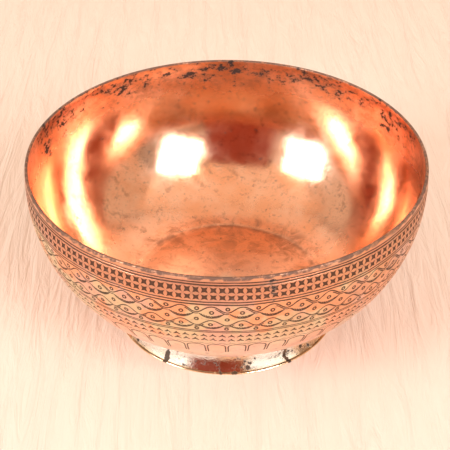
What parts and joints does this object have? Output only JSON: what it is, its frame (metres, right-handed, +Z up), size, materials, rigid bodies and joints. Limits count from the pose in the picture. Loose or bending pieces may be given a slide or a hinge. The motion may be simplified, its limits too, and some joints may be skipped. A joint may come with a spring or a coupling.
{
  "type": "bowl",
  "caption": "Deep round copper bowl with an inward-leaning rim, engraved bands outside, and a low flared foot ring soldered underneath.",
  "frame": {"origin": "on the table under the middle of the bowl, in the plane that the foot's lip stands on", "axes": "+Z up through the middle of the mouth; the viewer of the front stands on the -Y side, with +X to the right; the foot's seam is 32 degrees round from the front towards +X"},
  "size_m": [0.281, 0.281, 0.1325],
  "materials": {
    "copper": "hammered and polished copper, engraved bands darkened",
    "worn_tin": "worn tinning over copper",
    "braze": "dark, oxidised",
    "solder": "dull grey"
  },
  "bodies": {
    "root": {"bowl_shell": "copper", "foot_ring": "worn_tin", "foot_seam": "braze", "foot_solder": "solder"}
  },
  "joints": []
}
